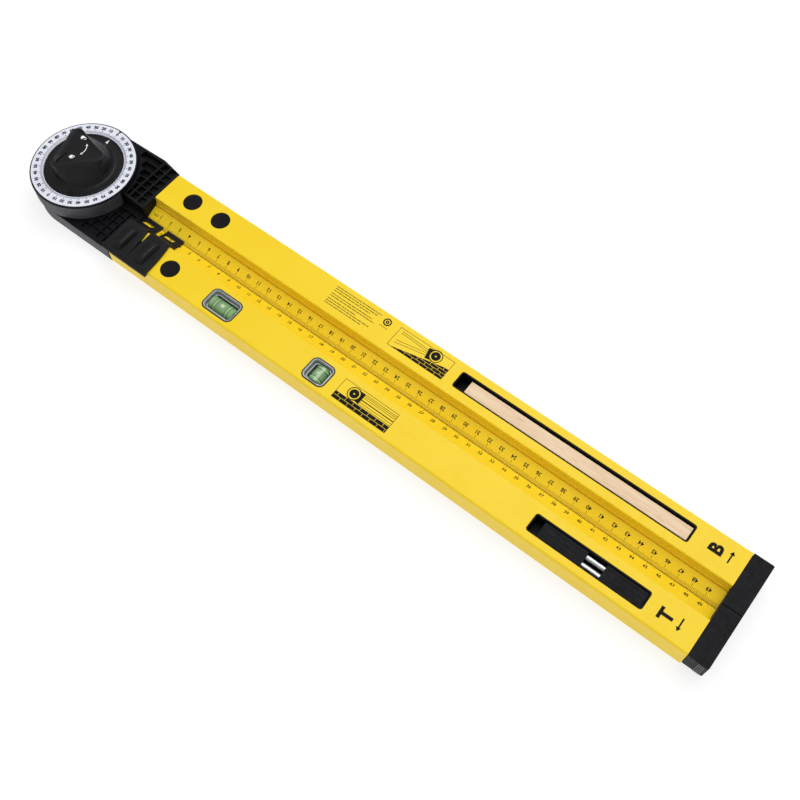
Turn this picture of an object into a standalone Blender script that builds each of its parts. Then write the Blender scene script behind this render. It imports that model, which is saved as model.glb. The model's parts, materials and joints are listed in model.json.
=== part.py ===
"""Two-arm locking angle finder with level vials, a pencil tray and sliding markers.

The two aluminium arms lie folded side by side along +X. The pivot is the Z axis and
the undersides of the arms are at z = 0. The arm on the +Y side (b_*) carries the dial
and is the fixed arm; the arm on the -Y side (t_*) swings away from it about the pivot.
Lengths below are in millimetres; MM turns them into metres.
"""

import math

import bmesh
import bpy
from mathutils import Vector

MM = 0.001
GAP = 0.3                  # clearance between touching pieces
CUT_MARGIN = 5.0           # how far a cutter runs past what it cuts
CORNER_STEPS = 4           # straight pieces in each round corner of a slot

# --- driving dimensions (mm) -------------------------------------------------------
ARM_HALF_WIDTH = 40.6      # centre gap to the outer face of one arm
ARM_HEIGHT = 22.0
ARM_WALL = 1.6
LIP_WALL = 1.6             # wall between the hollow and the ruler lip
RAIL_START = 62.0          # pivot to the start of the extrusions, where the scale begins
RAIL_LENGTH = 500.0
CAP_LENGTH = 14.7
CAP_BASE_Z = 3.5           # underside of the end caps, clear of the bench
BOX_INNER_Y = 13.3         # inner edge of the flat top of each arm
LIP_Y = GAP / 2            # thin edge of the ruler lip, half the centre gap
LIP_EDGE_Z = 9.4
LIP_TOP_Y = 10.4
LIP_TOP_Z = 13.7
RAIL_ROUND = 1.6           # round outer top edge of an arm
INNER_ROUND = 1.0          # round inner top edge of an arm
TRACK_Y = 27.4             # centre line of slots, vials and plugs on each arm
SLOT_WIDTH = 14.2
SLOT_FLOOR_Z = 15.0        # cutters for slots start inside the hollow
TRAY_WALL = 0.7
TRAY_FLOOR_Z = 11.4
PENCIL_SLOT = (338.7, 525.2)
PENCIL_X = (348.4, 523.6)
PENCIL_Y = (21.6, 32.2)    # the pencil lies against the inner wall of its tray
PENCIL_Z = (11.8, 20.9)
LEAD_WIDTH = 4.0
LEAD_HEIGHT = 2.0
INSERT_SLOT = (438.4, 525.4)
INSERT_BLOCKS = {"near": (446.5, 479.6), "far": (493.4, 523.9)}
INSERT_WIDTH = 11.2
INSERT_Z = (11.8, 20.8)
ROD_X = (454.0, 518.0)
ROD_RADIUS = 2.0
ROD_OFFSET = 3.1           # from the track line to each rod
ROD_Z = 17.0
VIAL_LONG = (169.0, 26.2, 17.2)    # centre x, length, width of the window
VIAL_CROSS = (259.5, 18.2, 17.2)
VIAL_AXIS_Z = 15.8
VIAL_TUBE_RADIUS = 5.0
VIAL_TUBE_HALF = {"long": 11.6, "cross": 7.4}
PLUG_X = {"near": 88.3, "far": 116.9}
PLUG_RADIUS = 7.5
TONGUE_END = 128.0
CAP_SCREW_X = 556.0
SCREW_HOLE_RADIUS = 2.35
SCREW_HEAD_RADIUS = 3.95
BASE_RADIUS = ARM_HALF_WIDTH    # round foot of the lower housing
DRUM_RADIUS = 41.6         # round drum of the upper housing
LOWER_TOP_Z = 13.6
HOUSING_SPLIT_Z = 14.0
POCKET_FIRST_Y = {"b": 2.0, "t": 5.2}
POCKET_COUNT = {"b": 6, "t": 5}    # pockets side by side across each neck
POCKET_PITCH = 6.5
POCKET_WIDTH = 5.8
POCKET_FLOOR_Z = {"b": 20.0, "t": 11.6}
POCKET_EDGE = {"b": 43.0, "t": 42.8}    # circle about the pivot where the first pockets begin
POCKET_X = {"b": (45.6, 47.0, 52.6, 54.0, 59.6), "t": (44.2, 45.0, 51.2, 52.0, 58.2)}
DIAL_FLOOR_Z = 26.0
DIAL_TOP_Z = 28.5
DIAL_OUTER = 40.5
DIAL_INNER = 31.1
DISC_RADIUS = 30.3
DISC_TOP_Z = 28.2
BOLT_RADIUS = 3.9
BOLT_HEAD_RADIUS = 7.2     # hexagon, across its corners
KNOB_TOP_Z = 45.0
KNOB_BASE_Z = 28.6
KNOB_BASE_RADIUS = 24.0
KNOB_REACH = 22.2          # axis to the tip of a lobe
KNOB_TIP_RADIUS = 4.8      # round end of each lobe
KNOB_HOLLOW = 1.0          # how far the middle of each side is drawn in
KNOB_LOBE_ANGLE = 17.0     # direction of the first of three lobes, degrees
SLIDER_LENGTH = 21.8
SLIDER_X = {"slider_near": 62.5, "slider_far": 84.6}
SLIDER_PLATE_TOP = 24.0
SLIDER_HOLD_Z = 23.0

INSERT_CENTRE = (487.0, -TRACK_Y, 16.4)
RAIL_END = RAIL_START + RAIL_LENGTH
HOUSING_END = RAIL_START - GAP
ARM_SIDES = {"b": 1.0, "t": -1.0}

# --- materials: colour, roughness, metallic ----------------------------------------
FINISHES = {
    "yellow_coat": ((0.90, 0.64, 0.05), 0.42, 0.0),
    "black_plastic": ((0.022, 0.022, 0.025), 0.5, 0.0),
    "dial_white": ((0.82, 0.84, 0.90), 0.45, 0.0),
    "pencil_wood": ((0.72, 0.52, 0.34), 0.65, 0.0),
    "graphite": ((0.05, 0.05, 0.055), 0.45, 0.3),
    "clear_acrylic": ((0.80, 0.86, 0.84), 0.08, 0.0),
    "vial_green": ((0.22, 0.45, 0.12), 0.1, 0.0),
    "steel": ((0.62, 0.63, 0.65), 0.28, 1.0),
    "brass": ((0.75, 0.55, 0.22), 0.32, 1.0),
    "fibre": ((0.10, 0.075, 0.055), 0.8, 0.0),
}


def clear_scene():
    """Remove every object that the scene starts with."""
    for old in list(bpy.data.objects):
        bpy.data.objects.remove(old, do_unlink=True)


def make_materials():
    """One Principled material for each finish."""
    made = {}
    for name, (colour, roughness, metallic) in FINISHES.items():
        material = bpy.data.materials.new(name)
        material.use_nodes = True
        shader = material.node_tree.nodes["Principled BSDF"]
        shader.inputs["Base Color"].default_value = (*colour, 1.0)
        shader.inputs["Roughness"].default_value = roughness
        shader.inputs["Metallic"].default_value = metallic
        made[name] = material
    return made


# --- outlines ----------------------------------------------------------------------
def arc(radius, start, stop, steps, centre=(0.0, 0.0)):
    """Points on an arc, angles in degrees."""
    points = []
    for index in range(steps + 1):
        angle = math.radians(start + (stop - start) * index / steps)
        x = centre[0] + radius * math.cos(angle)
        y = centre[1] + radius * math.sin(angle)
        points.append((x, y))
    return points


def circle(radius, steps, centre=(0.0, 0.0)):
    """A closed round outline."""
    return arc(radius, 0.0, 360.0, steps, centre)[:-1]


def rectangle(x_range, y_range):
    """A rectangle, counter-clockwise."""
    x0, x1 = x_range
    y0, y1 = y_range
    return [(x0, y0), (x1, y0), (x1, y1), (x0, y1)]


def rounded_rectangle(x_range, y_range, radius):
    """A rectangle with round corners, counter-clockwise."""
    x0, x1 = x_range
    y0, y1 = y_range
    points = arc(radius, 0, 90, CORNER_STEPS, (x1 - radius, y1 - radius))
    points += arc(radius, 90, 180, CORNER_STEPS, (x0 + radius, y1 - radius))
    points += arc(radius, 180, 270, CORNER_STEPS, (x0 + radius, y0 + radius))
    points += arc(radius, 270, 360, CORNER_STEPS, (x1 - radius, y0 + radius))
    return points


def rail_profile():
    """Section (y, z) of one extrusion: a box with a sloped ruler lip at its inner side."""
    points = [(ARM_HALF_WIDTH - 0.6, 0.0), (ARM_HALF_WIDTH, 0.6)]
    outer_centre = (ARM_HALF_WIDTH - RAIL_ROUND, ARM_HEIGHT - RAIL_ROUND)
    points += arc(RAIL_ROUND, 0, 90, CORNER_STEPS, outer_centre)
    inner_centre = (BOX_INNER_Y + INNER_ROUND, ARM_HEIGHT - INNER_ROUND)
    points += arc(INNER_ROUND, 90, 180, CORNER_STEPS, inner_centre)
    points += [
        (BOX_INNER_Y, 19.2),
        (BOX_INNER_Y + 0.4, 18.9),
        (BOX_INNER_Y - 0.2, 18.5),
        (12.9, 15.6),
        (12.1, 15.3),
        (12.0, 13.0),
        (11.3, 13.0),
        (11.1, 14.0),
        (LIP_TOP_Y, LIP_TOP_Z),
        (LIP_Y, LIP_EDGE_Z),
        (LIP_Y, LIP_EDGE_Z - 1.2),
        (3.2, LIP_EDGE_Z - 1.2),
        (10.6, 11.2),
        (BOX_INNER_Y, 11.2),
        (BOX_INNER_Y, 0.6),
        (BOX_INNER_Y + 0.6, 0.0),
    ]
    return points


# --- solids ------------------------------------------------------------------------
def solid_from_loops(loops):
    """Skin a list of equal rings of points; the ends are filled with one face each."""
    mesh = bmesh.new()
    rings = []
    for loop in loops:
        rings.append([mesh.verts.new(Vector(point) * MM) for point in loop])
    for lower, upper in zip(rings, rings[1:]):
        count = len(lower)
        for index in range(count):
            following = (index + 1) % count
            mesh.faces.new((lower[index], lower[following], upper[following], upper[index]))
    mesh.faces.new(list(reversed(rings[0])))
    mesh.faces.new(rings[-1])
    bmesh.ops.recalc_face_normals(mesh, faces=mesh.faces)
    return mesh


def upright_prism(outline, z0, z1):
    """Outline in plan, extruded from z0 to z1."""
    return solid_from_loops([[(x, y, z) for x, y in outline] for z in (z0, z1)])


def lengthwise_prism(section, x0, x1, side=1.0):
    """Section (y, z), mirrored to the arm's side, extruded from x0 to x1."""
    return solid_from_loops([[(x, side * y, z) for y, z in section] for x in (x0, x1)])


def crosswise_cylinder(radius, y0, y1, x, z, steps):
    """A round bar along Y."""
    ring = circle(radius, steps)
    return solid_from_loops([[(x + u, y, z + v) for u, v in ring] for y in (y0, y1)])


def lengthwise_cylinder(radius, x0, x1, y, z, steps):
    """A round bar along X."""
    ring = circle(radius, steps)
    return solid_from_loops([[(x, y + u, z + v) for u, v in ring] for x in (x0, x1)])


def box(x_range, y_range, z_range):
    """A plain block."""
    return upright_prism(rectangle(x_range, y_range), *z_range)


def turned(profile, steps, centre=(0.0, 0.0)):
    """Revolve a closed profile (radius, z) about a vertical axis.

    A profile that touches the axis gives a solid piece, any other gives a ring.
    """
    mesh = bmesh.new()
    rows = []
    for radius, z in profile:
        if radius == 0.0:
            rows.append([mesh.verts.new(Vector((*centre, z)) * MM)] * steps)
            continue
        ring = circle(radius, steps, centre)
        rows.append([mesh.verts.new(Vector((x, y, z)) * MM) for x, y in ring])
    pairs = list(zip(rows, rows[1:]))
    if profile[0][0] > 0.0:
        pairs.append((rows[-1], rows[0]))
    for first, second in pairs:
        for index in range(steps):
            following = (index + 1) % steps
            corners = (first[index], first[following], second[following], second[index])
            mesh.faces.new(list(dict.fromkeys(corners)))
    bmesh.ops.recalc_face_normals(mesh, faces=mesh.faces)
    return mesh


# --- objects -----------------------------------------------------------------------
def add_object(name, mesh_data, material, parent=None, origin=(0.0, 0.0, 0.0)):
    """Make a named object from a bmesh, with its origin where the piece turns or slides."""
    shift = Vector(origin) * MM
    bmesh.ops.translate(mesh_data, verts=mesh_data.verts, vec=-shift)
    mesh = bpy.data.meshes.new(name)
    mesh_data.to_mesh(mesh)
    mesh_data.free()
    obj = bpy.data.objects.new(name, mesh)
    obj.location = shift
    bpy.context.scene.collection.objects.link(obj)
    if material:
        mesh.materials.append(material)
        mesh.shade_smooth()
        mesh.set_sharp_from_angle(angle=math.radians(35))
    if parent:
        obj.location = shift - parent.location
        obj.parent = parent
    return obj


def add_empty(name, origin=(0.0, 0.0, 0.0), parent=None):
    """A parent for one moving group, on its joint's axis."""
    empty = bpy.data.objects.new(name, None)
    empty.location = Vector(origin) * MM
    bpy.context.scene.collection.objects.link(empty)
    if parent:
        empty.location -= parent.location
        empty.parent = parent
    return empty


def combine(target, mesh_data, operation):
    """Cut a shape out of the target, or weld it on, with a Boolean modifier."""
    helper = add_object(f"{target.name}_{operation.lower()}_{len(target.modifiers)}",
                        mesh_data, None)
    helper.hide_render = True
    helper.display_type = "WIRE"
    modifier = target.modifiers.new(helper.name, "BOOLEAN")
    modifier.operation = operation
    modifier.solver = "EXACT"
    modifier.object = helper


def cut(target, *shapes):
    """Remove each shape from the target."""
    for shape in shapes:
        combine(target, shape, "DIFFERENCE")


def weld(target, *shapes):
    """Add each shape to the target."""
    for shape in shapes:
        combine(target, shape, "UNION")


# --- sub-assemblies ----------------------------------------------------------------
def window_span(vial):
    """X range of a vial window."""
    centre, length, _ = vial
    return centre - length / 2, centre + length / 2


def track_span(width, side):
    """Y range of a feature centred on the arm's track line."""
    middle = side * TRACK_Y
    return middle - width / 2, middle + width / 2


def hollow_section(inset):
    """Section (y, z) of the hollow along a rail, drawn in by inset on every side."""
    inner = BOX_INNER_Y + LIP_WALL + inset
    outer = ARM_HALF_WIDTH - ARM_WALL - inset
    low = ARM_WALL + inset
    high = ARM_HEIGHT - ARM_WALL - inset
    return [(inner, low), (outer, low), (outer, high), (inner, high)]


def screw_seat(x, side):
    """Countersunk hole through the bottom wall of a rail."""
    profile = [(0, -1.0), (SCREW_HEAD_RADIUS + 0.25, -1.0), (SCREW_HEAD_RADIUS, 0.0)]
    profile += [(SCREW_HOLE_RADIUS, ARM_WALL), (SCREW_HOLE_RADIUS, 3.0), (0, 3.0)]
    return turned(profile, 20, (x, side * TRACK_Y))


def screw_bore(x, side):
    """Clearance bore for a screw in a plastic tongue."""
    hole = circle(SCREW_HOLE_RADIUS, 20, (x, side * TRACK_Y))
    return upright_prism(hole, 0.0, ARM_HEIGHT + CUT_MARGIN)


def make_rail(arm, slots, materials, parent):
    """Aluminium extrusion with its hollow, slots, plug holes and screw seats."""
    side = ARM_SIDES[arm]
    rail = add_object(f"{arm}_rail", lengthwise_prism(rail_profile(), RAIL_START, RAIL_END, side),
                      materials["yellow_coat"], parent)
    hollow = hollow_section(0.0)
    cut(rail, lengthwise_prism(hollow, RAIL_START - CUT_MARGIN, RAIL_END + CUT_MARGIN, side))
    for x_range, width, radius in slots:
        outline = rounded_rectangle(x_range, track_span(width, side), radius)
        cut(rail, upright_prism(outline, SLOT_FLOOR_Z, ARM_HEIGHT + CUT_MARGIN))
    for x in PLUG_X.values():
        hole = circle(PLUG_RADIUS, 40, (x, side * TRACK_Y))
        cut(rail, upright_prism(hole, SLOT_FLOOR_Z, ARM_HEIGHT + CUT_MARGIN))
        cut(rail, screw_seat(x, side))
    cut(rail, screw_seat(CAP_SCREW_X, side))


def make_end_cap(arm, materials, parent):
    """Plastic cap with a tongue inside the rail and a screw from below."""
    side = ARM_SIDES[arm]
    start = RAIL_END + GAP
    end = RAIL_END + CAP_LENGTH
    outer = side * ARM_HALF_WIDTH
    outline = [(start, side * LIP_Y), (end, side * LIP_Y), (end, outer - side * 0.6)]
    outline += [(end - 0.6, outer), (start, outer)]
    cap = add_object(f"{arm}_end_cap", upright_prism(outline, CAP_BASE_Z, ARM_HEIGHT),
                     materials["black_plastic"], parent)
    weld(cap, lengthwise_prism(hollow_section(GAP), RAIL_END - 11.5, start + 1.0, side))
    cut(cap, screw_bore(CAP_SCREW_X, side))


def make_screw(name, x, side, materials, parent):
    """Countersunk steel screw, seated flush with the underside."""
    head = SCREW_HEAD_RADIUS - 0.4
    shank = SCREW_HOLE_RADIUS - 0.35
    profile = [(0, 0.15), (head, 0.15), (shank, 1.7), (shank, 8.4), (0, 8.4)]
    add_object(name, turned(profile, 20, (x, side * TRACK_Y)), materials["steel"], parent)


def make_plug(name, x, side, materials, parent):
    """Round black plug that closes the hole over a tongue screw."""
    radius = PLUG_RADIUS - GAP
    top = ARM_HEIGHT
    profile = [(0, top - 5.0), (2.0, top - 5.0), (2.0, top - 1.6), (radius, top - 1.6)]
    profile += [(radius, top - 0.3), (radius - 0.3, top), (0, top)]
    add_object(name, turned(profile, 40, (x, side * TRACK_Y)), materials["black_plastic"], parent)


def make_arm(arm, slots, materials, parent):
    """The rail of one arm with its cap, plugs and screws."""
    side = ARM_SIDES[arm]
    make_rail(arm, slots, materials, parent)
    make_end_cap(arm, materials, parent)
    for place, x in PLUG_X.items():
        make_plug(f"{arm}_plug_{place}", x, side, materials, parent)
        make_screw(f"{arm}_screw_{place}", x, side, materials, parent)
    make_screw(f"{arm}_cap_screw", CAP_SCREW_X, side, materials, parent)


def edge_of_circle(radius, y):
    """X of a circle about the pivot at this y."""
    return math.sqrt(radius ** 2 - y ** 2)


def cut_pockets(housing, arm):
    """Rows of shallow open pockets across a neck: one curved column and two square ones."""
    side = ARM_SIDES[arm]
    curved_end, first_start, first_end, second_start, second_end = POCKET_X[arm]
    for index in range(POCKET_COUNT[arm]):
        near = POCKET_FIRST_Y[arm] + index * POCKET_PITCH
        far = near + POCKET_WIDTH
        y_range = sorted((side * near, side * far))
        start = edge_of_circle(POCKET_EDGE[arm], near)
        columns = [(start, curved_end), (first_start, first_end), (second_start, second_end)]
        for x_range in columns:
            cut(housing, box(x_range, y_range, (POCKET_FLOOR_Z[arm], DIAL_TOP_Z)))


def make_lower_housing(materials, parent):
    """Round foot, neck and tongue that carry the swinging arm."""
    start = -math.degrees(math.asin(LIP_Y / BASE_RADIUS))
    outline = [(HOUSING_END, -LIP_Y)]
    outline += arc(BASE_RADIUS, start, 270.0, 72)
    outline += [(HOUSING_END, -BASE_RADIUS)]
    washer_recess = upright_prism(circle(20.0, 40), 12.4, 16.0)
    bolt_bore = upright_prism(circle(BOLT_RADIUS + GAP, 24), -1.0, 16.0)
    hexagon_seat = upright_prism(circle(BOLT_HEAD_RADIUS + 0.4, 6), -1.0, 6.5)
    housing = add_object("lower_housing", upright_prism(outline, 0.0, LOWER_TOP_Z),
                         materials["black_plastic"], parent)
    end_wall = box((HOUSING_END - 2.0, HOUSING_END), (-ARM_HALF_WIDTH, -BOX_INNER_Y - 1.0),
                   (0.0, ARM_HEIGHT - 0.2))
    tongue = lengthwise_prism(hollow_section(GAP), HOUSING_END - 1.0, TONGUE_END, -1.0)
    weld(housing, end_wall, tongue)
    cut(housing, washer_recess, bolt_bore, hexagon_seat)
    for index in range(6):
        middle = 60.0 * index + 30.0
        sector = arc(37.0, middle - 27.0, middle + 27.0, 8)
        sector += arc(17.0, middle + 24.0, middle - 24.0, 4)
        cut(housing, upright_prism(sector, -1.0, 10.5))
    for x in PLUG_X.values():
        cut(housing, screw_bore(x, -1.0))
    cut_pockets(housing, "t")


def make_upper_housing(materials, parent):
    """Drum under the dial, neck with its rib lattice and the tongue in the fixed arm."""
    split = HOUSING_SPLIT_Z
    drum = [(7.3, split), (21.0, split), (21.0, 23.8), (37.8, 23.8), (37.8, split)]
    drum += [(DRUM_RADIUS, split), (DRUM_RADIUS, DISC_TOP_Z - 0.3), (DRUM_RADIUS - 0.3, DISC_TOP_Z)]
    drum += [(DIAL_OUTER + GAP, DISC_TOP_Z), (DIAL_OUTER + GAP, DIAL_FLOOR_Z), (7.3, DIAL_FLOOR_Z)]
    housing = add_object("upper_housing", turned(drum, 96), materials["black_plastic"], parent)
    outline = [(16.0, LIP_Y), (HOUSING_END, LIP_Y), (HOUSING_END, ARM_HALF_WIDTH)]
    outline += [(45.0, DRUM_RADIUS + 1.2), (0.4, DRUM_RADIUS - 0.05), (0.4, 39.0), (16.0, 36.0)]
    neck = add_object("neck_shape", upright_prism(outline, 0.0, 24.2), None)
    neck.hide_render = True
    neck.display_type = "WIRE"
    cut(neck, upright_prism(circle(BASE_RADIUS + 0.8, 96), -1.0, split))
    cut(neck, upright_prism(circle(38.5, 96), split - 1.0, 30.0))
    slope = [(46.0, 24.2), (70.0, 20.86), (70.0, 28.0), (46.0, 28.0)]
    slope_cutter = solid_from_loops([[(x, y, z) for x, z in slope] for y in (-5.0, 50.0)])
    cut(neck, slope_cutter)
    join = housing.modifiers.new("neck", "BOOLEAN")
    join.operation = "UNION"
    join.solver = "EXACT"
    join.object = neck
    weld(housing, lengthwise_prism(hollow_section(GAP), HOUSING_END - 2.0, TONGUE_END, 1.0))
    for x in PLUG_X.values():
        cut(housing, screw_bore(x, 1.0))
    cut_pockets(housing, "b")


def make_pivot(materials, base, swinging, knob):
    """Bolt, washers, bush, dial ring, pointer disc and locking knob on the pivot."""
    bolt = add_object("pivot_bolt", upright_prism(circle(BOLT_RADIUS, 24), 5.0, 39.0),
                      materials["steel"], swinging)
    weld(bolt, upright_prism(circle(BOLT_HEAD_RADIUS, 6), 0.0, 6.2))
    washer = [(5.0, 12.7), (19.6, 12.7), (19.6, 13.7), (5.0, 13.7)]
    add_object("friction_washer", turned(washer, 40), materials["fibre"], swinging)
    bush = [(4.3, 14.1), (7.0, 14.1), (7.0, 25.9), (4.3, 25.9)]
    add_object("pivot_bush", turned(bush, 32), materials["brass"], base)
    ring = [(DIAL_INNER, DIAL_FLOOR_Z + GAP), (DIAL_OUTER, DIAL_FLOOR_Z + GAP)]
    ring += [(DIAL_OUTER, DIAL_TOP_Z), (33.4, DIAL_TOP_Z), (DIAL_INNER, DIAL_TOP_Z - 0.6)]
    add_object("dial_ring", turned(ring, 96), materials["dial_white"], base)
    disc = [(4.3, DIAL_FLOOR_Z + GAP), (DISC_RADIUS, DIAL_FLOOR_Z + GAP)]
    disc += [(DISC_RADIUS, DISC_TOP_Z - 0.5), (DISC_RADIUS - 0.8, DISC_TOP_Z), (4.3, DISC_TOP_Z)]
    add_object("pointer_disc", turned(disc, 72), materials["black_plastic"], swinging)
    thrust = [(4.3, 28.5), (10.0, 28.5), (10.0, 29.5), (4.3, 29.5)]
    add_object("thrust_washer", turned(thrust, 32), materials["steel"], knob)
    insert = [(4.2, 30.2), (6.4, 30.2), (6.4, 41.0), (4.2, 41.0)]
    add_object("knob_insert", turned(insert, 24), materials["brass"], knob)


def lobe_radius(angle, reach):
    """Outline of the three-lobed knob: round tips joined by slightly hollow sides."""
    turn = abs((math.degrees(angle) - KNOB_LOBE_ANGLE + 60.0) % 120.0 - 60.0)
    centre = reach - KNOB_TIP_RADIUS
    side = centre / 2 + KNOB_TIP_RADIUS
    half_side = centre * math.sin(math.radians(60.0))
    from_middle = math.radians(60.0 - turn)
    along = side * math.tan(from_middle)
    if along < half_side:
        hollow = KNOB_HOLLOW * math.cos(math.pi / 2 * along / half_side) ** 2
        return (side - hollow) / math.cos(from_middle)
    across = centre * math.sin(math.radians(turn))
    return centre * math.cos(math.radians(turn)) + math.sqrt(KNOB_TIP_RADIUS ** 2 - across ** 2)


def make_lock_knob(materials, parent):
    """Tall three-lobed knob whose round skirt flows up into its lobes."""
    base = KNOB_BASE_RADIUS
    tip = KNOB_REACH
    levels = [(KNOB_BASE_Z, base, 0.0), (29.2, base, 0.0), (30.0, base - 0.7, 0.04)]
    levels += [(31.4, base - 1.3, 0.12), (34.0, base - 1.6, 0.32), (37.0, tip + 0.1, 0.56)]
    levels += [(40.0, tip, 0.78), (42.4, tip, 0.94), (43.8, tip, 1.0), (44.7, tip - 0.5, 1.0)]
    levels += [(KNOB_TOP_Z, tip - 1.5, 1.0)]
    loops = []
    for z, reach, share in levels:
        loop = []
        for index in range(72):
            angle = math.tau * index / 72
            radius = (1.0 - share) * reach + share * lobe_radius(angle, reach)
            loop.append((radius * math.cos(angle), radius * math.sin(angle), z))
        loops.append(loop)
    knob = add_object("lock_knob", solid_from_loops(loops), materials["black_plastic"], parent)
    cut(knob, upright_prism(circle(10.4, 32), 27.0, 29.9))
    cut(knob, upright_prism(circle(6.7, 24), 27.0, 41.4))


def make_vial(name, vial, along_x, materials, parent):
    """Clear block in its window, with the level tube in a bore through it."""
    centre, length, width = vial
    half = length / 2 - GAP
    y_range = track_span(width - 2 * GAP, -1.0)
    outline = rounded_rectangle((centre - half, centre + half), y_range, 3.6)
    block = add_object(f"vial_block_{name}", upright_prism(outline, 1.9, 21.7),
                       materials["clear_acrylic"], parent)
    middle_y = -TRACK_Y
    if along_x:
        bar, middle, cross = lengthwise_cylinder, centre, middle_y
    else:
        bar, middle, cross = crosswise_cylinder, middle_y, centre
    bore = VIAL_TUBE_RADIUS + GAP
    reach = VIAL_TUBE_HALF[name]
    cut(block, bar(bore, middle - length, middle + length, cross, VIAL_AXIS_Z, 28))
    tube = bar(VIAL_TUBE_RADIUS, middle - reach, middle + reach, cross, VIAL_AXIS_Z, 28)
    add_object(f"vial_tube_{name}", tube, materials["vial_green"], parent)


def make_tray(name, slot, side, materials, parent):
    """Black liner of a slot, open at the top."""
    outer = (slot[0] + GAP, slot[1] - GAP)
    y_range = track_span(SLOT_WIDTH - 2 * GAP, side)
    shell = upright_prism(rounded_rectangle(outer, y_range, 1.7), 1.9, 21.8)
    tray = add_object(name, shell, materials["black_plastic"], parent)
    inner = (outer[0] + TRAY_WALL, outer[1] - TRAY_WALL)
    cavity_y = (y_range[0] + TRAY_WALL, y_range[1] - TRAY_WALL)
    cavity = rounded_rectangle(inner, cavity_y, 1.2)
    cut(tray, upright_prism(cavity, TRAY_FLOOR_Z, ARM_HEIGHT + CUT_MARGIN))
    cut(tray, upright_prism(cavity, 0.0, TRAY_FLOOR_Z - 1.5))


def make_pencil(materials, parent):
    """Flat carpenter's pencil: wood with a rectangular lead through it."""
    low, high = PENCIL_Z
    inner, outer = PENCIL_Y
    section = [(inner, low + 1.4), (inner + 1.0, low), (outer - 1.0, low), (outer, low + 1.4)]
    section += [(outer, high - 0.5), (outer - 0.5, high), (inner + 0.5, high), (inner, high - 0.5)]
    across = (inner + outer) / 2
    middle = (low + high) / 2
    centre = (sum(PENCIL_X) / 2, across, middle)
    wood = add_object("pencil_wood", lengthwise_prism(section, *PENCIL_X),
                      materials["pencil_wood"], parent, centre)
    half_width = LEAD_WIDTH / 2
    half_height = LEAD_HEIGHT / 2
    lead_y = (across - half_width, across + half_width)
    lead_z = (middle - half_height, middle + half_height)
    bore = box((PENCIL_X[0] - CUT_MARGIN, PENCIL_X[1] + CUT_MARGIN),
               (lead_y[0] - GAP, lead_y[1] + GAP), (lead_z[0] - GAP, lead_z[1] + GAP))
    cut(wood, bore)
    lead = box(PENCIL_X, lead_y, lead_z)
    add_object("pencil_lead", lead, materials["graphite"], parent, centre)


def make_insert(materials, parent):
    """Lift-out adapter: two black blocks joined by two steel rods."""
    rod_y = track_span(2 * ROD_OFFSET, -1.0)
    y_range = track_span(INSERT_WIDTH, -1.0)
    for name, x_range in INSERT_BLOCKS.items():
        block = add_object(f"insert_block_{name}", box(x_range, y_range, INSERT_Z),
                           materials["black_plastic"], parent, INSERT_CENTRE)
        for y in rod_y:
            bore = lengthwise_cylinder(ROD_RADIUS + GAP, ROD_X[0] - GAP, ROD_X[1] + GAP, y, ROD_Z, 20)
            cut(block, bore)
    for index, y in enumerate(rod_y, start=1):
        rod = lengthwise_cylinder(ROD_RADIUS, *ROD_X, y, ROD_Z, 20)
        add_object(f"insert_rod_{index}", rod, materials["steel"], parent, INSERT_CENTRE)


def slider_section():
    """Section (distance from the centre gap, z) of a marker that straddles the arm."""
    outer = ARM_HALF_WIDTH + 0.4
    return [
        (outer, 20.6),
        (outer + 2.4, 20.6),
        (outer + 3.0, 21.2),
        (outer + 3.0, SLIDER_PLATE_TOP - 1.0),
        (outer + 2.2, SLIDER_PLATE_TOP),
        (13.6, SLIDER_PLATE_TOP),
        (11.4, 22.6),
        (10.4, 16.0),
        (9.6, 14.9),
        (0.9, 11.3),
        (-1.0, 11.3),
        (-1.0, 10.1),
        (0.7, 10.1),
        (10.2, 14.15),
        (11.4, 14.6),
        (12.4, 15.8),
        (12.7, 22.3),
        (outer, 22.3),
    ]


def make_slider(name, start, materials, parent):
    """Sliding marker with a grip ridge, a pointed tip on the ruler and a reading window."""
    end = start + SLIDER_LENGTH
    above = SLIDER_PLATE_TOP + 10.0
    centre = (start + SLIDER_LENGTH / 2, -TRACK_Y, SLIDER_HOLD_Z)
    slider = add_object(name, lengthwise_prism(slider_section(), start, end, -1.0),
                        materials["black_plastic"], parent, centre)
    taper = [(end + 3, -19.0), (end, -19.0), (end - 5.6, -9.0), (end - 4.8, -3.4)]
    taper += [(end - 5.4, 0.2), (end - 6.4, 3.0), (end + 3, 3.0)]
    cut(slider, upright_prism(taper, 0.0, above))
    window = [(start + 2.4, -5.9), (start + 11.2, -5.9), (start + 13.4, -2.9), (start + 4.6, -2.9)]
    cut(slider, upright_prism(window, 0.0, above))
    ridge_foot = rectangle((start + 4.4, start + 15.0), (-38.6, -18.4))
    ridge_crest = rectangle((start + 8.0, start + 13.4), (-36.6, -20.4))
    levels = ((ridge_foot, 23.2), (ridge_foot, 24.6), (ridge_crest, 27.4))
    weld(slider, solid_from_loops([[(x, y, z) for x, y in outline] for outline, z in levels]))


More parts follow.
